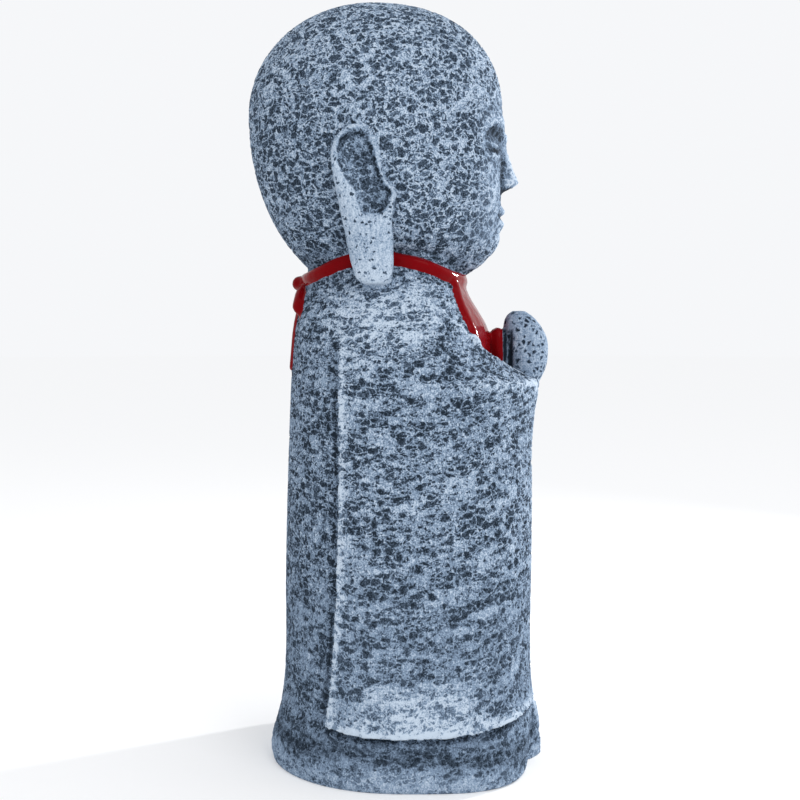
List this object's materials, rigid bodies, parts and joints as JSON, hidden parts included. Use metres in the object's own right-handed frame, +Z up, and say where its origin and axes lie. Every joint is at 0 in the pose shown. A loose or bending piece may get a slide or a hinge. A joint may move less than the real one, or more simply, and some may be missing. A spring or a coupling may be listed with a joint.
{
  "type": "jizo statue",
  "caption": "Standing bald child-monk garden figure in a long-sleeved robe, hands folded at the chest, long ears, with a bib tied at the nape. Cast in one piece, standing on its flat underside.",
  "frame": {"origin": "middle of the bounding box at the underside", "axes": "+Z up; the figure faces -Y; its right hand is on -X"},
  "size_m": [0.1164, 0.12, 0.3],
  "materials": {
    "painted_stone": "cast stone with a dark blue-grey wash, dry-brushed pale on its high points; bib, tie and bow in glossy red paint"
  },
  "bodies": {
    "root": {"jizo_statue": "painted_stone"}
  },
  "joints": []
}
